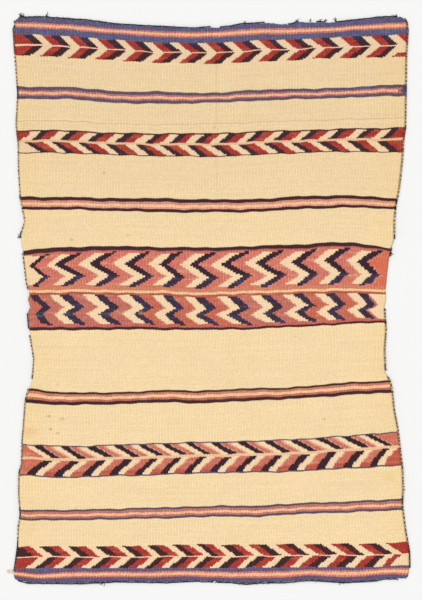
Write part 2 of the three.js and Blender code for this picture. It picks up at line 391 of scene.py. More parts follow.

# what use has left: sides rubbed warm and small stains; besides, the upper end is a little greyer, and
# a soft crease down the middle is painted darker as painted shade, most in the upper part
WARM_WARPS = 26.0
WARM_SHARE = 0.55
WARM_SHADE = (1.0, 0.97, 0.86, 1.0)
GREY_FROM = 250.0
GREY_TO = 900.0
GREY_SHADE = (0.925, 0.915, 0.925, 1.0)
# the painted shade of the crease: how far it lies from the middle, how wide it fades, how strong it is,
# and its colour
CREASE_ASIDE = 0.016
CREASE_EDGES = (0.001, 0.008)
CREASE_SHARE = 0.5
CREASE_SHADE = (0.90, 0.89, 0.88, 1.0)
# columns: across, down, reach, strength, colour
STAINS = [
    (112, 1285, 5, 0.42, (150, 112, 84)), (154, 1293, 9, 0.28, (180, 140, 104)),
    (119, 1326, 5, 0.40, (160, 118, 88)), (141, 1339, 5, 0.34, (160, 120, 90)),
    (48, 1334, 22, 0.30, (240, 178, 110)), (185, 717, 6, 0.40, (200, 160, 120)),
    (368, 702, 5, 0.38, (190, 155, 120)), (290, 502, 4, 0.42, (160, 125, 95)),
    (996, 1293, 4, 0.46, (170, 130, 98)), (1204, 1479, 16, 0.35, (236, 198, 110)),
    (643, 356, 6, 0.25, (190, 160, 130)), (904, 1028, 4, 0.30, (170, 130, 100)),
    (141, 1182, 4, 0.25, (180, 145, 112)), (700, 1180, 60, 0.05, (222, 190, 150)),
    (408, 952, 7, 0.5, (205, 165, 150)),
]
STAIN_DRAWN = 0.65
STAIN_EDGES = (0.3, 1.2)
STAIN_WAVER = 0.010
STAIN_WAVERS = 90.0
wear_and_shade, come, go = new_group(
    "marks of use and painted shade",
    {"Colour": (1.0, 1.0, 1.0, 1.0), "Warp": 0.0, "Weft": 0.0, "Place": (0.0, 0.0, 0.0)},
    {"Colour": "NodeSocketColor"},
)
from_side = calc(wear_and_shade, "MINIMUM", come["Warp"], calc(wear_and_shade, "SUBTRACT", float(WARPS), come["Warp"]))
warm = ramp(wear_and_shade, from_side, 0.0, WARM_WARPS, WARM_SHARE, 0.0)
worn_and_shaded = mixed(wear_and_shade, warm, come["Colour"], WARM_SHADE, "MULTIPLY")
grey = ramp(wear_and_shade, come["Weft"], GREY_FROM, GREY_TO, 1.0, 0.0)
worn_and_shaded = mixed(wear_and_shade, grey, worn_and_shaded, GREY_SHADE, "MULTIPLY")
# painted shade along the crease, which fades out with the greyer upper end
across = put(wear_and_shade, "ShaderNodeSeparateXYZ", {0: come["Place"]}).outputs["X"]
from_crease = calc(wear_and_shade, "ABSOLUTE", calc(wear_and_shade, "SUBTRACT", across, middle.x + CREASE_ASIDE))
painted_crease_shade = calc(wear_and_shade, "MULTIPLY", ramp(wear_and_shade, from_crease, *CREASE_EDGES, CREASE_SHARE, 0.0), grey)
worn_and_shaded = mixed(wear_and_shade, painted_crease_shade, worn_and_shaded, CREASE_SHADE, "MULTIPLY")
waver = scaled(wear_and_shade, noise(wear_and_shade, come["Place"], STAIN_WAVERS, 3.0, "Color"), STAIN_WAVER)
flat = vector_calc(wear_and_shade, "ADD", come["Place"], waver)
flat = vector_calc(wear_and_shade, "MULTIPLY", flat, (STAIN_DRAWN, 1.0, 0.0))
for stain_across, stain_down, reach, strength, colour in STAINS:
    x, y = to_frame(stain_across, stain_down)
    centre = ((x + STAIN_WAVER / 2) * STAIN_DRAWN, y + STAIN_WAVER / 2, 0.0)
    near = put(wear_and_shade, "ShaderNodeVectorMath", {0: flat, 1: centre}, operation="DISTANCE")
    inner, outer = (edge * reach * MM for edge in STAIN_EDGES)
    spot = ramp(wear_and_shade, near.outputs["Value"], inner, outer, strength, 0.0)
    worn_and_shaded = mixed(wear_and_shade, spot, worn_and_shaded, dye(*colour))
connect(wear_and_shade, go, {"Colour": worn_and_shaded})


def wool_surface(tree, shader, colour, roughness, height, depth, strength):
    """A matt surface of wool, with a height that gives its bumps."""
    bump = put(tree, "ShaderNodeBump", {"Height": height, "Distance": depth, "Strength": strength})
    connect(tree, shader, {
        "Base Color": colour, "Roughness": roughness, "Normal": bump.outputs["Normal"],
        "Sheen Weight": SHEEN, "Sheen Roughness": SHEEN_ROUGHNESS, "Specular IOR Level": SPECULAR,
    })


def woven(name, yarn, abrash=0.05, fuzz=0.10, rib_shade=0.25, beads=0.10):
    """A woven material: yarn is a colour, or a function that makes one in the shader tree. abrash is
    how far the yarn's tone wavers, fuzz how hairy it is, rib_shade how strong the painted shade in the
    grooves between warps and the painted light on the ribs are, and beads how much each turn of weft
    over a warp differs from the next."""
    material, tree, shader = bare_material(name)
    warp = put(tree, "ShaderNodeAttribute", attribute_name="warp").outputs["Fac"]
    weft = put(tree, "ShaderNodeAttribute", attribute_name="weft").outputs["Fac"]
    place = put(tree, "ShaderNodeTexCoord").outputs["Object"]
    colour = yarn(tree, weft, place) if callable(yarn) else dye(*yarn)
    cloth = put(tree, "ShaderNodeGroup", node_tree=weave)
    connect(tree, cloth, {
        "Warp": warp, "Weft": weft, "Place": place, "Yarn": colour, "Abrash": abrash, "Fuzz": fuzz,
        "Rib Shade": rib_shade, "Beads": beads,
    })
    marks_and_shade = put(tree, "ShaderNodeGroup", node_tree=wear_and_shade)
    connect(tree, marks_and_shade, {"Colour": cloth.outputs["Colour"], "Warp": warp, "Weft": weft, "Place": place})
    wool_surface(tree, shader, marks_and_shade.outputs["Colour"], cloth.outputs["Roughness"],
                 cloth.outputs["Height"], BUMP_DEPTH, BUMP_STRENGTH)
    return material


yarns = {
    "cream": woven("cream wool", (250, 222, 173), 0.085, 0.08, 0.19, 0.09),
    "band_cream": woven("cream wool of the patterns", (250, 218, 177), 0.085, 0.08, 0.19, 0.09),
    "greyed_cream": woven("greyed cream wool", (214, 188, 150), 0.06),
    "coral": woven("coral wool", (216, 132, 110), 0.20, 0.14, 0.36, 0.45),
    "peach": woven("peach wool", (253, 190, 154), 0.12, 0.12, 0.32, 0.30),
    "dark": woven("brown-black wool", (67, 35, 41), 0.22, 0.3, 0.5, 0.45),
}


# wool dyed in two baths, as near black and blue, whose colours come and go in the rows
BATH_PATCHES = (16.0, 0.09)
BATH_LOW = 0.18
BATH_SPAN = 0.5
BATH_SOFT = 0.22
baths, come, go = new_group(
    "two dye baths",
    {"Weft": 0.0, "Place": (0.0, 0.0, 0.0), "Second Share": 0.5, "First": (0.0, 0.0, 0.0, 1.0),
     "Second": (0.0, 0.0, 0.1, 1.0)},
    {"Colour": "NodeSocketColor"},
)
bath = noise(baths, across_and_down(baths, come, BATH_PATCHES), 1.0)
first_share = calc(baths, "SUBTRACT", 1.0, come["Second Share"])
low_level = calc(baths, "MULTIPLY_ADD", first_share, BATH_SPAN, BATH_LOW)
high_level = calc(baths, "ADD", low_level, BATH_SOFT)
turned = ramp(baths, bath, low_level, high_level)
connect(baths, go, {"Colour": mixed(baths, turned, come["First"], come["Second"])})


def two_baths(name, share, first, second, abrash=0.12, beads=0.45, fuzz=0.25, rib_shade=0.5):
    """A wool's material, from its two dyes and the share of the second."""
    def colours(tree, weft, place):
        dyed = put(tree, "ShaderNodeGroup", node_tree=baths)
        connect(tree, dyed, {
            "Weft": weft, "Place": place, "Second Share": share,
            "First": dye(*first), "Second": dye(*second),
        })
        return dyed.outputs["Colour"]
    return woven(name, colours, abrash, fuzz, rib_shade, beads)


yarns["blue"] = two_baths("slate blue wool", 0.38, (100, 94, 128), (94, 106, 148))


# Weaving: the rows of the cloth from its top end down
# Every weft lies on a line that bows and dips across the width, as it was beaten down. The lines that
# bound the bands are given at nine places across, and the rows between share out the space. The
# stepped patterns are counted in warps: each row has one yarn over each warp.
BEYOND = 4.0
edges = np.linspace(0.0, 1.0, WARPS + 1)
warp_middles = np.arange(WARPS) + 0.5
rows = []
lines = [end_line(edges, at_top=True)]


def weft_line(*downs):
    """Depth of one weft along its length, from its depth at places evenly across, in millimetres."""
    knots = np.array(downs, float)
    spots = np.linspace(0.0, 1.0, len(knots))
    slopes = np.gradient(knots, spots)
    first = np.clip((edges * (len(knots) - 1)).astype(int), 0, len(knots) - 2)
    gap = spots[1]
    t = (edges - spots[first]) / gap
    start, end = knots[first], knots[first + 1]
    lead, trail = slopes[first] * gap, slopes[first + 1] * gap
    return ((2 * t**3 - 3 * t**2 + 1) * start + (t**3 - 2 * t**2 + t) * lead
            + (3 * t**2 - 2 * t**3) * end + (t**3 - t**2) * trail)


def way_to(foot):
    """The way from the last weft down to another: it gives the line at a share of that way."""
    start = lines[-1]
    return lambda share: start + (foot - start) * share


def lay(line, count, yarn):
    """Weave count rows of one yarn down to a line."""
    down_to = way_to(line)
    for i in range(count):
        rows.append(np.full(WARPS, yarn, object))
        lines.append(down_to((i + 1) / count))


def stripes(line, parts):
    """Plain stripes down to a line: parts are the yarn and its share of the depth."""
    down_to = way_to(line)
    done = 0.0
    for yarn, share in parts:
        done += share
        lay(down_to(done), 1, yarn)


def spaced(*counted):
    """The warp where every repeat starts over, from a few of them: the rest are evenly between."""
    numbers = [number for number, _ in counted]
    return np.interp(np.arange(numbers[-1] + 1), numbers, [warp for _, warp in counted])


def repeat_at(tips):
    """Which repeat each warp falls in, as a running number; the end repeats go on outwards."""
    first_pitch, last_pitch = tips[1] - tips[0], tips[-1] - tips[-2]
    grown = np.concatenate([
        [tips[0] - BEYOND * first_pitch], tips, [tips[-1] + BEYOND * last_pitch],
    ])
    numbers = np.concatenate([[-BEYOND], np.arange(len(tips), dtype=float), [len(tips) - 1 + BEYOND]])
    return np.interp(warp_middles, grown, numbers)


def charted(number, order):
    """The yarn over each warp: order gives the yarns of a repeat and where in it each one ends."""
    ends = [end for _, end in order]
    names = np.array([yarn for yarn, _ in order] + [order[-1][0]], object)
    return names[np.searchsorted(ends, number % 1.0, side="right")]


def step(line, count, tips, new_tips, order, reach=True, below=None, above=None, turned=None, lots=()):
    """Weave count rows of a stepped pattern down to a line, its repeats moving over warp by warp.
    reach says that the last row gets to the new tips, and isn't one step short. below and above give
    what fills the cloth outside a repeat number, turned another order past one, and lots the yarns
    that come from another batch in some repeats."""
    down_to = way_to(line)
    for i in range(count):
        here = np.round(tips + (new_tips - tips) * i / max(1, count - reach))
        number = repeat_at(here)
        cells = charted(number, order)
        if turned:
            cells = np.where(number >= turned[0], charted(number, turned[1]), cells)
        for yarn, batch, repeats in lots:
            cells[(cells == yarn) & np.isin(np.floor(number), repeats)] = batch
        if below:
            cells[number < below[0]] = below[1]
        if above:
            cells[number > above[0]] = above[1]
        rows.append(cells)
        lines.append(down_to((i + 1) / count))


# The upper end: a blue, coral and blue border, and red and black chevrons under it
# Woven first, in raveled red and a black that is partly blue. The chevrons point to the right, and a
# thin pale line runs along their points.
yarns["rose"] = woven("rose coral wool", (192, 120, 112), 0.20, 0.14, 0.36, 0.45)
END_STRIPES = (("rose", 0.12), ("coral", 0.17), ("peach", 0.40), ("coral", 0.17), ("rose", 0.14))
lay(weft_line(18, 20, 25, 31, 39, 43, 47, 49, 49, 43, 38, 37, 36, 34, 28, 22, 18), 2, "blue")
stripes(weft_line(35, 39, 43, 50, 56, 62, 66, 70, 69, 64, 59, 58, 55, 52, 45, 41, 39), END_STRIPES)
lay(weft_line(56, 63, 75, 84, 86, 76, 72, 64, 57), 1, "blue")
yarns["red"] = two_baths("raveled red wool", 0.40, (171, 54, 48), (192, 84, 53), 0.16, 0.34)
yarns["rust"] = two_baths("browner red wool", 0.45, (176, 68, 52), (200, 94, 64), 0.16, 0.34)
yarns["navy"] = two_baths("blue part of the black wool", 0.50, (62, 38, 44), (62, 54, 88))
yarns["black"] = two_baths("black wool, partly blue", 0.10, (66, 34, 37), (60, 48, 78))
yarns["spine"] = woven("pale line of the red chevrons", (255, 214, 188), 0.05)
UPPER_TIPS = spaced((0, 18), (4, 90.5), (8, 159.5), (11, 211), (12, 232), (13, 249))
LOWER_TIPS = spaced((0, 18.5), (3, 72), (5, 109), (6, 125), (10, 196.5), (13, 248.5))
CHEVRON = (("band_cream", 0.348), ("red", 0.677), ("black", 1.0))
CHEVRON_NAVY = (("band_cream", 0.348), ("red", 0.677), ("navy", 1.0))
rule = {"below": (-0.65, "red"), "above": (13.68, "red")}
bottom = weft_line(123, 133, 141, 149, 152, 145, 138, 133, 130)
down_to = way_to(bottom)
step(down_to(0.26), 4, UPPER_TIPS - 6.4, UPPER_TIPS - 3.4, CHEVRON_NAVY, **rule)
step(down_to(0.45), 3, UPPER_TIPS - 2.4, UPPER_TIPS, CHEVRON, **rule)
lay(down_to(0.495) + weft_line(3, 1, 0, 0, 0, 0, 0, 0, 0), 1, "spine")
rows[-1][repeat_at(UPPER_TIPS) % 1.0 < 0.30] = "band_cream"
rule["above"] = (13.30, "band_cream")
step(down_to(0.81), 5, LOWER_TIPS, LOWER_TIPS - 4.4, CHEVRON, **rule)
rule["above"] = (13.677, "rust")
step(bottom, 3, LOWER_TIPS - 5.6, LOWER_TIPS - 8, CHEVRON, **rule)


# The second stripes: blue, coral and peach on the cream field
# The plain field between the bands is a creamy white wool. The stripes are a few shots of each yarn,
# and at the right side the blue goes round the end of the others.
lay(weft_line(226, 227, 239, 242, 246, 234, 233, 226, 216), 4, "cream")
yarns["dusky_blue"] = two_baths("dusky blue wool", 0.30, (98, 84, 106), (104, 100, 130))
SIDE_STRIPES = (
    ("dusky_blue", 0.26), ("rose", 0.15), ("peach", 0.20), ("rose", 0.13),
    ("dusky_blue", 0.26),
)
BLUE_TURNS = (1, 2, 3, 2, 1)
ROSE_TURNS = (0, 0, 2, 0, 0)
first_row = len(rows)
stripes(weft_line(265, 267, 277, 281, 278, 270, 266, 260, 254), SIDE_STRIPES)
for row, blue_turn, rose_turn in zip(rows[first_row:], BLUE_TURNS, ROSE_TURNS):
    row[-blue_turn - rose_turn:] = "rose"
    row[-blue_turn:] = "dusky_blue"
faint = weft_line(334, 336, 343, 347, 344, 338, 334, 329, 323)
lay(faint, 3, "cream")
lay(faint + 1.8, 1, "greyed_cream")


# The third band: chevrons that point left, with a cream line between their halves
# Thin lines of dark wool close it off above and below, and the lower half sits a step further left.
lay(weft_line(366, 366, 373, 376, 375, 368, 365, 359, 356), 1, "cream")
lay(lines[-1] + 4.3, 1, "dark")
yarns["arrow_spine"] = woven("cream line of the arrows", (242, 200, 156), 0.06)
yarns["arrow_black"] = two_baths("black of the arrows", 0.26, (64, 38, 43), (62, 54, 84))
UPPER_TIPS = spaced((0, 9.3), (3, 64), (4, 84), (7, 133), (12, 223.5), (13, 240.5))
LOWER_TIPS = spaced((0, 4.5), (3, 57.5), (4, 77.5), (8, 145.5), (11, 198.5), (13, 237.5))
ARROW = (("arrow_black", 0.30), ("red", 0.64), ("band_cream", 1.0))
bottom = weft_line(440, 440, 445, 450, 451, 445, 439, 435, 438)
down_to = way_to(bottom - 3)
step(down_to(0.41), 6, UPPER_TIPS + 6, UPPER_TIPS, ARROW,
     below=(-0.70, "red"), above=(13.5, "red"), lots=(("red", "rust", (1, 8)),))
lay(down_to(0.51), 1, "arrow_spine")
step(bottom - 3, 8, LOWER_TIPS, LOWER_TIPS + 9, ARROW,
     below=(-0.30, "band_cream"), above=(13.5, "rust"), lots=(("red", "rust", (0, 3, 5, 6)),))
lay(bottom, 1, "dark")


# The fourth stripes: black, coral and pale peach
# The two middle yarns are paler here than in the blue stripes, and run into each other.
yarns["pale_coral"] = woven("pale coral wool", (222, 150, 127), 0.16, 0.14, 0.38, 0.36)
yarns["light_coral"] = woven("lighter coral wool", (230, 160, 135), 0.16, 0.14, 0.38, 0.36)
yarns["pale_peach"] = woven("pale peach wool", (250, 200, 156), 0.12, 0.12, 0.34, 0.26)
DARK_STRIPES = (
    ("dark", 0.27), ("pale_coral", 0.18), ("pale_peach", 0.19), ("light_coral", 0.13),
    ("dark", 0.23),
)
lay(weft_line(580, 580, 583, 585, 587, 586, 578, 574, 586), 5, "cream")
stripes(weft_line(622, 621, 625, 630, 629, 628, 620, 614, 620), DARK_STRIPES)


# The middle band: two deep panels of stepped zigzags in coral, cream and black
# A dark line and a thin coral line bound it above and below. The upper panel turns back twice, the
# lower one too, and a peach line with coral either side runs between them.
lay(weft_line(752, 740, 738, 741, 741, 738, 732, 725, 745), 5, "cream")
for name, label, first, second, abrash, beads in (
    ("zigzag_coral", "coral wool of the zigzags", (215, 120, 102), (221, 150, 120), 0.16, 0.30),
    ("orange_coral", "orange coral wool", (224, 114, 88), (218, 134, 112), 0.10, 0.24),
    ("low_coral", "coral wool of the lower panel", (199, 112, 98), (203, 140, 116), 0.17, 0.32),
    ("low_orange", "orange coral of the lower panel", (204, 106, 83), (202, 130, 108), 0.17, 0.32),
):
    yarns[name] = two_baths(label, 0.35, first, second, abrash, beads)
yarns["zigzag_black"] = two_baths("near black of the zigzags", 0.22, (56, 32, 46), (54, 48, 82))
yarns["teal"] = two_baths("teal part of the blue black", 0.5, (66, 52, 66), (72, 88, 104), 0.2)
yarns["zigzag_salmon"] = woven("salmon edge of the zigzags", (216, 156, 131), 0.12, 0.16, 0.40, 0.24)
yarns["zigzag_blue"] = two_baths("blue black of the zigzags", 0.42, (62, 42, 60), (60, 62, 96))
yarns["line_coral"] = woven("coral line", (183, 102, 92), 0.12, 0.14, 0.42, 0.3)
yarns["line_dull"] = two_baths("dull coral line", 0.40, (212, 134, 106), (222, 122, 98), 0.08, 0.24)
yarns["line_brown"] = two_baths("brown-red line", 0.45, (176, 92, 72), (214, 112, 82), 0.08, 0.24)
yarns["line_peach"] = woven("peach line", (248, 202, 152), 0.10, 0.10, 0.25, 0.24)
UPPER_START = spaced((0, 12), (1, 33), (3, 82), (4, 103.5), (7, 174), (10, 243))
UPPER_LEFT = spaced((0, 3), (1, 21), (4, 94.5), (6, 137.5), (8, 187), (10, 233))
UPPER_RIGHT = spaced((0, 12), (2, 58.5), (3, 84), (4, 105), (8, 200.5), (10, 244))
UPPER_FOOT = spaced((0, 3.5), (1, 24.5), (4, 96), (7, 165.5), (8, 191.5), (10, 236.5))
LOWER_START = spaced((0, 1), (1, 22.5), (3, 72), (5, 119), (8, 189), (10, 235))
LOWER_RIGHT = spaced((0, 9), (1, 31.5), (3, 82.5), (5, 127), (8, 199.5), (10, 242.5))
LOWER_LEFT = spaced((0, 5), (1, 25), (3, 75.5), (6, 141.5), (7, 168), (10, 236.5))
LOWER_FOOT = spaced((0, 9.5), (1, 33), (3, 84), (4, 105), (8, 200.5), (10, 242))


def zigzag(dark, coral="zigzag_coral", first_share=0.20):
    """The yarns of a zigzag: its first repeat may have less of the dark one than the rest."""
    beyond = ((coral, 0.655), ("zigzag_salmon", 0.70), ("band_cream", 1.0))
    return {"order": ((dark, first_share), *beyond), "turned": (1, ((dark, 0.295), *beyond))}


rule = {"below": (-0.30, "band_cream"), "above": (10.40, "orange_coral")}
lay(weft_line(766, 754, 751, 752, 752, 749, 745, 737, 752), 1, "dark")
lay(lines[-1] + 4, 1, "line_coral")
spine = weft_line(883, 880, 883, 885, 889, 885, 880, 876, 882)
down_to = way_to(spine - 14)
tip_row = (("zigzag_coral", 0.15), ("zigzag_black", 0.295), ("zigzag_coral", 1.0))
step(down_to(1 / 21), 1, UPPER_START, UPPER_START, tip_row, **rule)
step(down_to(7 / 21), 6, UPPER_START - 1, UPPER_LEFT + 1, **zigzag("zigzag_black"), **rule)
step(down_to(14 / 21), 7, UPPER_LEFT, UPPER_RIGHT, reach=False, **zigzag("zigzag_black"), **rule)
step(down_to(20 / 21), 6, UPPER_RIGHT, UPPER_FOOT + 1, **zigzag("zigzag_blue"), **rule)
step(spine - 14, 1, UPPER_FOOT, UPPER_FOOT, (("zigzag_blue", 0.2), ("zigzag_coral", 1.0)), **rule)
lay(spine - 3, 1, "line_dull")
lay(spine + 5, 1, "line_peach")
lay(spine + 12, 1, "line_brown")
bottom = weft_line(998, 998, 998, 998, 999, 998, 990, 983, 977)
down_to = way_to(bottom - 6)
ORANGE_LOTS = ("low_coral", "low_orange", (3, 4, 5, 8, 9))
TEAL_LOTS = ("zigzag_blue", "teal", (0, 1, 2, 5, 7))
rule = {"below": (0, "low_coral"), "above": (10.36, "band_cream"), "lots": (ORANGE_LOTS,)}
rule.update(zigzag("zigzag_blue", "low_coral", 0.28))
to_left = (LOWER_LEFT - LOWER_RIGHT) / 4
to_foot = (LOWER_FOOT - 1 - LOWER_LEFT) / 5
step(down_to(7 / 18), 7, LOWER_START, LOWER_RIGHT, reach=False, **rule)
step(down_to(10 / 18), 3, LOWER_RIGHT, LOWER_RIGHT + 2 * to_left, **rule)
rule["lots"] = (ORANGE_LOTS, TEAL_LOTS)
step(down_to(12 / 18), 2, LOWER_LEFT - to_left, LOWER_LEFT, **rule)
step(down_to(13 / 18), 1, LOWER_LEFT + to_foot, LOWER_LEFT, **rule)
rule["lots"] = (ORANGE_LOTS,)
step(down_to(17 / 18), 4, LOWER_LEFT + 2 * to_foot, LOWER_FOOT - 1, **rule)
rule.update(order=(("low_coral", 0.12), ("zigzag_blue", 0.295), ("low_coral", 1.0)), turned=None)
step(bottom - 6, 1, LOWER_FOOT, LOWER_FOOT, **rule)
yarns["low_line"] = woven("red line under the zigzags", (206, 104, 90), 0.12, 0.14, 0.42, 0.3)
lay(bottom, 1, "low_line")
lay(bottom + weft_line(10.5, 9.5, 9, 8.5, 8, 7.5, 7, 7, 7), 1, "dark")


# The sixth stripes: black, coral and peach again
# As the fourth, but the upper black is thin where the lower one is thick.
lay(weft_line(1195, 1208, 1207, 1200, 1201, 1194, 1189, 1176, 1171), 7, "cream")
yarns["deep_brick"] = woven("deeper brick coral wool", (194, 112, 90), 0.18, 0.14, 0.38, 0.4)
yarns["brick"] = woven("brick coral wool", (206, 130, 102), 0.18, 0.14, 0.38, 0.4)
BRICK_STRIPES = (
    ("dark", 0.165), ("brick", 0.178), ("pale_peach", 0.227), ("deep_brick", 0.17),
    ("dark", 0.26),
)
stripes(weft_line(1241, 1249, 1246, 1240, 1243, 1234, 1227, 1217, 1209), BRICK_STRIPES)


# The seventh band: coral and black chevrons that point right
# They are drawn out longer than the upper ones. A paler coral edges the upper ones, and the lower
# ones go to a warmer red towards the foot.
lay(weft_line(1372, 1380, 1375, 1369, 1367, 1362, 1355, 1346, 1332), 5, "cream")
yarns["slate_line"] = woven("slate line", (84, 74, 100), 0.15, 0.2, 0.5, 0.4)
yarns["chevron_coral"] = two_baths(
    "coral of the long chevrons", 0.35, (208, 114, 94), (218, 140, 112), 0.12, 0.26
)
yarns["chevron_salmon"] = woven("salmon edge of the long chevrons", (226, 168, 138), 0.12, 0.16, 0.40)
yarns["chevron_brick"] = two_baths(
    "warmer red of the long chevrons", 0.35, (192, 90, 72), (200, 112, 86), 0.12, 0.26
)
yarns["chevron_black"] = two_baths("black of the long chevrons", 0.15, (56, 31, 40), (52, 46, 74))
lay(lines[-1] + 3.7, 1, "slate_line")
UPPER_TIPS = spaced((0, 25), (3, 79), (6, 127), (9, 181), (12, 234.5), (13, 250))
LOWER_TIPS = spaced((0, 19.5), (3, 74.5), (6, 123.5), (9, 175), (12, 231), (13, 247.5))
LONG_UPPER = (
    ("chevron_salmon", 0.06), ("chevron_coral", 0.29), ("chevron_salmon", 0.40), ("band_cream", 0.69),
    ("chevron_black", 1.0),
)
LONG_LOWER = (
    ("band_cream", 0.27), ("chevron_salmon", 0.34), ("chevron_coral", 0.69), ("chevron_black", 1.0),
)
LONG_FOOT = (("band_cream", 0.27), ("chevron_brick", 0.69), ("chevron_black", 1.0))
bottom = weft_line(1475, 1483, 1477, 1473, 1468, 1465, 1461, 1452, 1443)
down_to = way_to(bottom - 4.5)
step(down_to(0.39), 9, UPPER_TIPS - 11.5, UPPER_TIPS, LONG_UPPER,
     below=(-0.63, "chevron_coral"), above=(13.05, "chevron_coral"))
lay(down_to(0.48), 1, "arrow_spine")
rule = {"below": (-0.31, "chevron_coral"), "above": (13.30, "chevron_brick")}
step(down_to(0.84), 6, LOWER_TIPS, LOWER_TIPS - 6.4, LONG_LOWER, **rule)
step(bottom - 4.5, 2, LOWER_TIPS - 7.6, LOWER_TIPS - 8.5, LONG_FOOT, **rule)
lay(bottom, 1, "slate_line")


# The eighth stripes: blue, coral and peach
# The blue is only a shot or two here, so the coral shows most.
lay(weft_line(1583, 1586, 1580, 1577, 1573, 1570, 1563, 1557, 1548), 4, "cream")
yarns["rosy_brown"] = woven("rosy brown wool", (194, 122, 104), 0.18, 0.14, 0.38, 0.4)
SLATE_STRIPES = (
    ("slate_line", 0.175), ("rosy_brown", 0.24), ("peach", 0.21), ("rosy_brown", 0.18),
    ("slate_line", 0.195),
)
stripes(weft_line(1617, 1620, 1615, 1613, 1608, 1606, 1598, 1593, 1584), SLATE_STRIPES)


# The lower end: the last chevrons and the closing border
# The weaver changed the order of red and black part of the way across, first in the upper half.
lay(weft_line(1703, 1702, 1701, 1698, 1696, 1696, 1695, 1693, 1688), 3, "cream")
yarns["violet"] = two_baths("violet blue wool", 0.40, (110, 82, 104), (104, 88, 122))
UPPER_TIPS = spaced((0, 17), (3, 72), (5, 105), (7, 136.5), (9, 171.5), (13, 244))
LOWER_TIPS = spaced((0, 18.5), (3, 72.5), (4, 90.5), (7, 138), (9, 172), (13, 243))
BLACK_FIRST = (("band_cream", 0.31), ("black", 0.655), ("red", 1.0))
RED_FIRST = (("band_cream", 0.31), ("red", 0.655), ("black", 1.0))
spine = weft_line(1739, 1737, 1737, 1736, 1735, 1734, 1732, 1731, 1727)
step(spine - 2, 8, UPPER_TIPS - 8.6, UPPER_TIPS, BLACK_FIRST,
     below=(-0.66, "black"), above=(13.31, "red"), turned=(8, RED_FIRST))
lay(spine + 1, 1, "spine")
rows[-1][repeat_at(UPPER_TIPS) % 1.0 < 0.27] = "band_cream"
bottom = weft_line(1775, 1772, 1772, 1772, 1772, 1770, 1769, 1769, 1763)
step(bottom, 7, LOWER_TIPS - 4, LOWER_TIPS - 11.5, BLACK_FIRST,
     below=(-0.35, "red"), above=(13.62, "band_cream"), turned=(10, RED_FIRST))
border_top = weft_line(
    1782, 1791, 1784, 1783, 1782, 1783, 1782, 1780, 1782, 1783, 1782, 1780, 1777, 1779, 1777, 1772, 1772
)
border_foot = weft_line(
    1797, 1807, 1804, 1802, 1801, 1802, 1802, 1799, 1802, 1804, 1804, 1802, 1796, 1800, 1800, 1793, 1795
)
stripes(border_top, (("blue", 0.55), ("violet", 0.45)))
stripes(border_foot, END_STRIPES)
stripes(end_line(edges, at_top=False), (("violet", 0.4), ("blue", 0.6)))


# The cloth
# One piece of cloth with a face and a back, both showing the same pattern, as such weaving does.
# Where the yarn changes, every second warp shows the old one a shot longer, so the join is toothed.
# The sides are rounded where the weft turns, and the face is never quite even.
SIDE_ROUND = 0.5
TURN_WANDER = 0.7
COCKLE = 0.22
COCKLE_WAVES = 10
COCKLE_PULL = (0.01, 0.05)
TOOTH = 1.0
TOOTH_SPREAD = 0.4
# the slow wander of the wefts: length of each wave in millimetres, and how it slants
WAVERS = ((410, 0.3), (230, 0.7), (145, -0.5), (92, 0.4), (61, -0.8))
WAVER = 0.675
END_RAGGED = 1.3
END_REACH = 60.0
ANY_PHASE = 6.3
fine = random.Random(7)
grid = np.random.RandomState(11)
depths = np.array(lines)
wide = across_at(edges[None, :], depths)
waver = np.zeros_like(depths)
for length, slant in WAVERS:
    waver += np.sin((wide + slant * depths) * 2 * math.pi / length + grid.uniform(0, ANY_PHASE))
near_end = np.clip(np.minimum(depths - depths[0], depths[-1] - depths) / END_REACH, 0, 1)
depths = depths + WAVER * waver * near_end
tooth = TOOTH * np.where(np.arange(WARPS + 1) % 2, 1.0, -1.0)
for r in range(1, len(rows)):
    if (rows[r] != rows[r - 1]).any():
        depths[r] += tooth + grid.uniform(-TOOTH_SPREAD, TOOTH_SPREAD, WARPS + 1)
depths[0] += grid.uniform(-END_RAGGED, END_RAGGED, WARPS + 1)
depths[-1] += grid.uniform(-END_RAGGED, END_RAGGED, WARPS + 1)
wide = across_at(edges[None, :], depths)
wide[:, [0, -1]] += grid.uniform(-TURN_WANDER, TURN_WANDER, (len(lines), 2))
xs, ys = to_frame(wide, depths)
under = lift(wide, depths)
waves = np.zeros_like(wide)
for _ in range(COCKLE_WAVES):
    pull = fine.uniform(*COCKLE_PULL)
    push = fine.uniform(*COCKLE_PULL)
    waves += np.sin(pull * wide + push * depths + fine.uniform(0, ANY_PHASE))
face = under + CLOTH_THICKNESS + COCKLE * waves / 3
face[:, [0, -1]] -= SIDE_ROUND
under[:, [0, -1]] += SIDE_ROUND
count = wide.size
points = np.concatenate([
    np.stack([xs, ys, face * MM], -1).reshape(-1, 3),
    np.stack([xs, ys, under * MM], -1).reshape(-1, 3),
])
finish_of = {name: number for number, name in enumerate(yarns)}
faces = []
finishes = []
for r, row in enumerate(rows):
    numbers = [finish_of[yarn] for yarn in row]
    for c in range(WARPS):
        a = r * (WARPS + 1) + c
        b = a + WARPS + 1
        faces += [(a, b, b + 1, a + 1), (a + count, a + 1 + count, b + 1 + count, b + count)]
        finishes += [numbers[c]] * 2
    a = r * (WARPS + 1)
    b = a + WARPS + 1
    faces += [(a, a + count, b + count, b)]
    a, b = a + WARPS, b + WARPS
    faces += [(b, b + count, a + count, a)]
    finishes += [numbers[0], numbers[-1]]
last = len(rows) * (WARPS + 1)
for c in range(WARPS):
    d = last + c
    faces += [(c, c + 1, c + 1 + count, c + count), (d + count, d + 1 + count, d + 1, d)]
    finishes += [finish_of["blue"]] * 2
cloth_mesh = bpy.data.meshes.new("blanket_cloth")
cloth_mesh.from_pydata(points.tolist(), [], faces)
for name in yarns:
    cloth_mesh.materials.append(yarns[name])
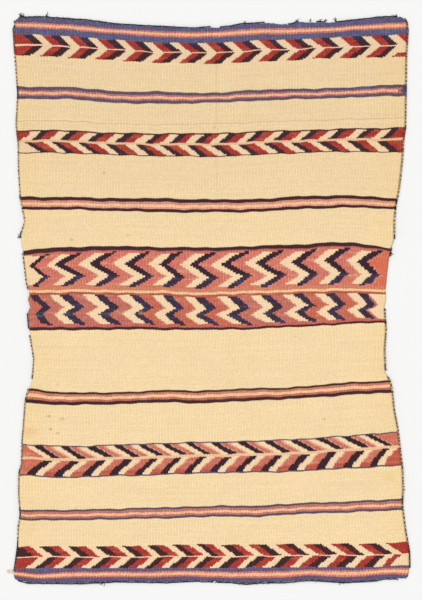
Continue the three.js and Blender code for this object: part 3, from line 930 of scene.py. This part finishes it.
cloth_mesh.polygons.foreach_set("material_index", finishes)
cloth_mesh.polygons.foreach_set("use_smooth", [True] * len(faces))
warp_numbers = np.tile(np.broadcast_to(edges * WARPS, wide.shape).ravel(), 2)
weft_depths = np.tile(np.broadcast_to(np.array(lines).mean(1)[:, None], wide.shape).ravel(), 2)
cloth_mesh.attributes.new("warp", "FLOAT", "POINT").data.foreach_set("value", warp_numbers)
cloth_mesh.attributes.new("weft", "FLOAT", "POINT").data.foreach_set("value", weft_depths)
cloth_mesh.update()
blanket = put_in("blanket_cloth", cloth_mesh)
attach(blanket, "root")
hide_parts("cloth")


# The side cords
# A two-ply cord of dark indigo wool runs up each side, and the weft goes round it as it turns, so the
# cord shows as dark dots between turns of pale weft. Where it has worn through, the side is bare.
CORD_RADIUS = 2.2
SEAT_GAP = 0.3
PLY_RADIUS = 1.15
PLY_TURN = 17.0
PLY_STEP = 2.8
PLY_SIDES = 6
# what is left of the cord: edge, from and to along it
SIDE_CORDS = {
    "side_cord_left_1": ("left", 14, 704), "side_cord_left_2": ("left", 760, 876),
    "side_cord_left_3": ("left", 953, 1003), "side_cord_left_4": ("left", 1024, 1164),
    "side_cord_left_5": ("left", 1197, 1783), "side_cord_right_1": ("right", 8, 712),
    "side_cord_right_2": ("right", 742, 770), "side_cord_right_3": ("right", 938, 1132),
    "side_cord_right_4": ("right", 1158, 1771),
}
# where weft still goes round the cord: from and to along it, how far apart the turns are, and the
# share of the cord that they cover
WRAPPED = {
    "left": ((24, 236, 11, 0.62), (270, 700, 10, 0.68), (764, 872, 10, 0.6), (1028, 1160, 10, 0.6),
             (1204, 1452, 10, 0.55), (1472, 1582, 11, 0.6), (1618, 1688, 11, 0.6)),
    "right": ((24, 706, 10.5, 0.52), (942, 1126, 10, 0.5), (1160, 1450, 11, 0.45),
              (1458, 1546, 10, 0.5), (1570, 1700, 12, 0.4)),
}
WRAP_RADIUS = 2.45
WRAP_SPREAD = 0.06
WRAP_SWELL = 1.06
WRAP_RIDGES = 3
WRAP_VALLEY = 0.84
WRAP_END = 0.62
WRAP_SIDES = 8
WRAP_APART = (0.75, 1.3)
WRAP_LONG = (0.75, 1.25)
WRAP_AHEAD = 2


def tube(store, points, radii, sides, finish, up=(0.0, 0.0, 1.0)):
    """Add a closed round strand through points, in millimetres, to a store of mesh parts."""
    points = np.asarray(points, float)
    radii = np.broadcast_to(radii, len(points))
    runs = np.gradient(points, axis=0)
    runs /= np.linalg.norm(runs, axis=1)[:, None]
    sideways = np.cross(runs, up)
    sideways /= np.linalg.norm(sideways, axis=1)[:, None]
    upward = np.cross(sideways, runs)
    turn = (np.arange(sides) * 2 * math.pi / sides)[None, :, None]
    ring = np.cos(turn) * sideways[:, None] + np.sin(turn) * upward[:, None]
    base = len(store["points"])
    store["points"].extend((points[:, None] + ring * radii[:, None, None]).reshape(-1, 3).tolist())
    for i in range(len(points) - 1):
        for j in range(sides):
            a = base + i * sides + j
            b = base + i * sides + (j + 1) % sides
            store["faces"].append((a, b, b + sides, a + sides))
            store["finishes"].append(finish)
    last = base + (len(points) - 1) * sides
    store["faces"] += [tuple(range(base + sides - 1, base - 1, -1)), tuple(range(last, last + sides))]
    store["finishes"] += [finish, finish]


def new_store():
    """An empty store of mesh parts."""
    return {"points": [], "faces": [], "finishes": []}


def edge_path(edge, start, end, step, out):
    """Points along a selvedge, this far outside it at the cloth's height, the way out, and where."""
    at = np.linspace(start, end, max(3, int((end - start) / step) + 1))
    if edge in ("left", "right"):
        down = at
        across = side_span(at)[0 if edge == "left" else 1]
    else:
        inset = drawn_in(TOP_SELVEDGE if edge == "top" else BOTTOM_SELVEDGE, at)
        across, down = at, inset if edge == "top" else CLOTH_LENGTH - inset
    height = lift(across, down)
    outward = {"left": (-1, 0), "right": (1, 0), "top": (0, 1), "bottom": (0, -1)}[edge]
    line = np.stack(from_middle(across, down), -1)
    runs = np.gradient(line, axis=0)
    normals = np.stack([runs[:, 1], -runs[:, 0]], -1)
    normals /= np.linalg.norm(normals, axis=1)[:, None]
    normals *= np.sign((normals * outward).sum(1))[:, None]
    line = line + normals * out
    return np.column_stack([line, height]), np.column_stack([normals, np.zeros(len(at))]), at


def along(path, at, spot):
    """The point of a path at a distance along the selvedge."""
    return np.array([np.interp(spot, at, path[:, k]) for k in range(3)])


def two_ply(store, path, radius, turn_length, strand_radius):
    """A twisted cord: two plies that wind round a path."""
    steps_along = np.linalg.norm(np.diff(path, axis=0), axis=1)
    way = np.concatenate([[0], np.cumsum(steps_along)])
    runs = np.gradient(path, axis=0)
    runs /= np.linalg.norm(runs, axis=1)[:, None]
    sideways = np.cross(runs, (0, 0, 1.0))
    for phase in (0.0, math.pi):
        angle = (way / turn_length * 2 * math.pi + phase)[:, None]
        winding = path + radius * (np.cos(angle) * sideways + np.sin(angle) * np.array((0, 0, 1.0)))
        tube(store, winding, strand_radius, PLY_SIDES, 0)


def finish_piece(name, store, materials, node):
    """Turn a store of mesh parts into a piece of the blanket that stands for a solid."""
    mesh = bpy.data.meshes.new(name)
    at_middle = np.array(store["points"]) * MM + np.array((middle.x, middle.y, 0.0))
    mesh.from_pydata(at_middle.tolist(), [], store["faces"])
    for material in materials:
        mesh.materials.append(material)
    mesh.polygons.foreach_set("material_index", store["finishes"])
    mesh.polygons.foreach_set("use_smooth", [len(f) == 4 for f in store["faces"]])
    mesh.update()
    piece = put_in(name, mesh)
    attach(piece, "root")
    if node:
        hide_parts(node)
    return piece


# loose yarn that isn't woven: worn fibres and an uneven dye
FIBRES = 900.0
RUBBED_PATCHES = 70.0
RUBBED_EDGES = (0.45, 0.7)
FIBRE_SHADE = 0.7
SPUN_BUMP = 0.0004
SPUN_BUMP_STRENGTH = 0.8
SPUN_ROUGHNESS = 0.92
spun, come, go = new_group(
    "loose spun wool",
    {"Place": (0.0, 0.0, 0.0), "Yarn": (1.0, 1.0, 1.0, 1.0), "Rubbed": (1.0, 1.0, 1.0, 1.0),
     "Wear": 0.3},
    {"Colour": "NodeSocketColor", "Height": "NodeSocketFloat"},
)
fibre = noise(spun, come["Place"], FIBRES, 3.0)
rubbed = ramp(spun, noise(spun, come["Place"], RUBBED_PATCHES, 3.0), *RUBBED_EDGES)
colour = mixed(spun, calc(spun, "MULTIPLY", rubbed, come["Wear"]), come["Yarn"], come["Rubbed"])
colour = scaled(spun, colour, swayed(spun, 1.0, fibre, FIBRE_SHADE))
connect(spun, go, {"Colour": colour, "Height": fibre})


def loose_yarn(name, colour, rubbed, wear_share):
    """The material of a cord, a turn of weft or a frayed end."""
    material, tree, shader = bare_material(name)
    place = put(tree, "ShaderNodeTexCoord").outputs["Object"]
    wool = put(tree, "ShaderNodeGroup", node_tree=spun)
    connect(tree, wool, {
        "Place": place, "Yarn": dye(*colour), "Rubbed": dye(*rubbed), "Wear": wear_share,
    })
    wool_surface(tree, shader, wool.outputs["Colour"], SPUN_ROUGHNESS, wool.outputs["Height"],
                 SPUN_BUMP, SPUN_BUMP_STRENGTH)
    return material


indigo_cord = loose_yarn("dark indigo cord", (26, 22, 30), (70, 66, 88), 0.35)
pale_turn = loose_yarn("turns of cream weft", (236, 206, 160), (214, 178, 130), 0.4)
rust_turn = loose_yarn("turns of coral weft", (206, 104, 82), (150, 70, 60), 0.4)
blue_turn = loose_yarn("turns of blue weft", (80, 82, 120), (50, 48, 80), 0.4)
cord_finishes = [indigo_cord, pale_turn, rust_turn, blue_turn]
TURN_FINISH = {
    "cream": 1, "coral": 2, "rose": 2, "red": 2, "orange_coral": 2, "blue": 3, "dusky_blue": 3,
    "dark": 0,
}


def weft_here(edge, down):
    """Which finish a turn of weft has at this depth on a side."""
    column = 0 if edge == "left" else -1
    row = int(np.clip(np.searchsorted(depths[:, column], down) - 1, 0, len(rows) - 1))
    return TURN_FINISH.get(rows[row][column], 1)


def wrap(store, centre, run, radius, length, finish):
    """A few turns of weft lying side by side round the cord."""
    rings = 2 * WRAP_RIDGES + 1
    shares = np.linspace(-0.5, 0.5, rings)
    swell = np.where(np.arange(rings) % 2 == 1, radius, WRAP_VALLEY * radius)
    swell[[0, -1]] = WRAP_END * radius
    tube(store, centre + run * (shares * length)[:, None], swell, WRAP_SIDES, finish)


for name, (edge, start, end) in SIDE_CORDS.items():
    store = new_store()
    path, _, at = edge_path(edge, start, end, PLY_STEP, CORD_RADIUS + SEAT_GAP)
    path[:, 2] += WRAP_RADIUS * WRAP_SWELL
    two_ply(store, path, CORD_RADIUS - PLY_RADIUS, PLY_TURN, PLY_RADIUS)
    for first, last, apart, covered in WRAPPED[edge]:
        spot = max(first, start + apart)
        while spot < min(last, end - apart):
            pitch = apart * fine.uniform(*WRAP_APART)
            length = pitch * covered * fine.uniform(*WRAP_LONG)
            centre = along(path, at, spot)
            ahead = along(path, at, spot + WRAP_AHEAD)
            run = (ahead - centre) / np.linalg.norm(ahead - centre)
            radius = WRAP_RADIUS * fine.uniform(1 - WRAP_SPREAD, WRAP_SWELL)
            wrap(store, centre, run, radius, length, weft_here(edge, spot))
            spot += pitch
    finish_piece(name, store, cord_finishes, name)


# The end cords
# Two thin dark cords were twined across each end before the first weft and after the last. They are
# ragged now: stretches are gone, and short fibres stand out from what is left.
END_CORDS = {
    "end_cord_top_1": ("top", 22, 632), "end_cord_top_2": ("top", 662, 806),
    "end_cord_top_3": ("top", 880, 915), "end_cord_top_4": ("top", 972, 1000),
    "end_cord_top_5": ("top", 1032, 1232), "end_cord_bottom_1": ("bottom", 14, 640),
    "end_cord_bottom_2": ("bottom", 652, 1236),
}
TWINE_RADIUS = 1.05
TWINE_TURN = 13.0
TWINE_SWAY = 0.9
FIBRE_RADII = (0.35, 0.75)
FIBRE_REACH = (2.5, 7.0)
FIBRE_EVERY = 4.5
FIBRE_APART = (0.3, 1.9)
FIBRE_SPREAD = 1.3
FIBRE_INSET = 4
FRAY_STEPS = 7
FRAY_CURL = 2.2
FRAY_LENGTHS = (0.6, 1.1)
FRAY_FALL = 1.5
FRAY_POINT = 0.45
FRAY_SIDES = 5


def fray(store, root, heading, reach, strands, radius, spread=0.9):
    """Loose strands that leave a root and lie down on the floor with a curl."""
    for _ in range(strands):
        turn = heading + fine.uniform(-spread, spread)
        curl = fine.uniform(-FRAY_CURL, FRAY_CURL) / max(reach, 1)
        length = reach * fine.uniform(*FRAY_LENGTHS)
        points = [np.array(root, float)]
        for i in range(FRAY_STEPS):
            stride = length / FRAY_STEPS
            ahead = points[-1] + stride * np.array((math.cos(turn), math.sin(turn), 0))
            share = (i + 1) / FRAY_STEPS
            ahead[2] = max(radius, root[2] * (1 - share) ** FRAY_FALL + radius)
            points.append(ahead)
            turn += curl * stride
        tube(store, points, np.linspace(radius, FRAY_POINT * radius, len(points)), FRAY_SIDES, 0)


for name, (edge, start, end) in END_CORDS.items():
    store = new_store()
    path, normals, at = edge_path(edge, start, end, PLY_STEP, CORD_RADIUS + SEAT_GAP)
    path[:, 2] += CORD_RADIUS
    sway = np.array([fine.uniform(-TWINE_SWAY, TWINE_SWAY) for _ in at])
    sway = np.convolve(sway, (0.25, 0.5, 0.25), "same")
    path += normals * sway[:, None]
    two_ply(store, path, CORD_RADIUS - TWINE_RADIUS, TWINE_TURN, TWINE_RADIUS)
    outward = math.pi / 2 if edge == "top" else -math.pi / 2
    spot = start + FIBRE_INSET
    while spot < end - FIBRE_INSET:
        reach = fine.uniform(*FIBRE_REACH)
        fray(store, along(path, at, spot), outward, reach, 1, fine.uniform(*FIBRE_RADII), FIBRE_SPREAD)
        spot += FIBRE_EVERY * fine.uniform(*FIBRE_APART)
    finish_piece(name, store, cord_finishes, name)


# Frayed ends
# Wisps and tufts where the cords have broken, two knots at the worn side, and a pale end of weft that
# curls out at the lower left corner. They are all free ends that lie on the floor by the edge.
# columns: across, down, heading in degrees, reach, strands, thickness
WISPS = [
    (32, 1, 130, 20, 5, 1.2), (26, 2, 155, 15, 4, 1.1), (103, 1, 75, 17, 4, 1.1),
    (741, 24, 80, 14, 4, 1.0), (912, 17, 100, 12, 3, 1.0), (951, 17, 70, 11, 3, 1.0),
    (984, 17, 120, 12, 4, 1.0), (998, 16, 60, 12, 4, 1.0), (1034, 16, 95, 15, 4, 1.1),
    (1223, 1, 80, 13, 4, 1.0), (24, 706, 215, 14, 7, 1.3), (1214, 760, 250, 11, 4, 0.9),
    (1196, 942, 185, 14, 2, 1.0), (1193, 1133, 300, 10, 4, 0.9), (1250, 1515, 20, 11, 5, 0.8),
    (1192, 1160, 120, 12, 4, 0.9), (287, 1817, 265, 16, 4, 1.1), (653, 1815, 250, 11, 3, 1.0),
    (816, 1816, 285, 12, 3, 1.0), (1047, 1817, 300, 16, 3, 1.2), (1256, 1802, 330, 11, 3, 0.8),
    (14, 1803, 200, 10, 3, 0.8), (640, 1815, 120, 8, 3, 0.9),
]
WISP_HEIGHT = 1.6
# columns: across, down, size
KNOTS = [(1222, 713, 4.0), (1192, 1133, 3.6)]
KNOT_TILTS = (0.2, 1.3)
KNOT_TURNS = 1.15
KNOT_STEPS = 18
KNOT_LONG = 0.5
KNOT_WIDE = 0.4
KNOT_HEIGHT = 0.75
KNOT_RADIUS = 0.9
KNOT_UP = (0.1, 0.2, 1.0)
store = new_store()
for wisp_across, wisp_down, heading, reach, strands, thickness in WISPS:
    root = (*from_middle(wisp_across, wisp_down), WISP_HEIGHT)
    fray(store, root, math.radians(heading), reach, strands, thickness)
for knot_across, knot_down, size in KNOTS:
    centre = np.array((*from_middle(knot_across, knot_down), size * KNOT_HEIGHT))
    turn = np.linspace(0, 2 * math.pi * KNOT_TURNS, KNOT_STEPS)
    long_way, wide_way = np.cos(turn) * size * KNOT_LONG, np.sin(turn) * size * KNOT_WIDE
    for tilt in KNOT_TILTS:
        loop = np.stack([long_way, wide_way * math.cos(tilt), wide_way * math.sin(tilt)], -1)
        tube(store, centre + loop, KNOT_RADIUS, FRAY_SIDES, 0, up=KNOT_UP)
finish_piece("frayed_cord_ends", store, cord_finishes, None)

# the loose turn of weft, a soft two-ply yarn
LOOSE_WEFT_START = 1779
LOOSE_WEFT_HEIGHT = 2.0
LOOSE_WEFT_STEPS = 49
LOOSE_WEFT_TURN = 9.0
LOOSE_PLY_RADIUS = 1.05
LOOSE_PLY_OUT = 0.8
# columns: how far out from the side, how far on down
LOOSE_WEFT_ROUTE = np.array([
    (-4, 0.5), (0, 0.2), (4, -0.4), (9, -0.6), (14, -0.3), (17.5, 1), (19, 3.5), (17.5, 6), (14, 7.2),
    (9, 7.6), (4, 7.3), (0, 7), (-4, 7.4),
])
weft_left = float(side_span(LOOSE_WEFT_START)[0]) - 2 * (CORD_RADIUS + SEAT_GAP)
store = new_store()
out, on = LOOSE_WEFT_ROUTE.T
path = np.column_stack([
    *from_middle(weft_left - out, LOOSE_WEFT_START + on), np.full(len(out), LOOSE_WEFT_HEIGHT),
])
numbers = np.arange(len(path))
fine_path = along(path, numbers, np.linspace(0, numbers[-1], LOOSE_WEFT_STEPS)).T
two_ply(store, fine_path, LOOSE_PLY_OUT, LOOSE_WEFT_TURN, LOOSE_PLY_RADIUS)
pale_weft = loose_yarn("pale peach weft end", (236, 216, 188), (250, 238, 220), 0.5)
finish_piece("loose_weft_end", store, [pale_weft], "loose_weft_end")
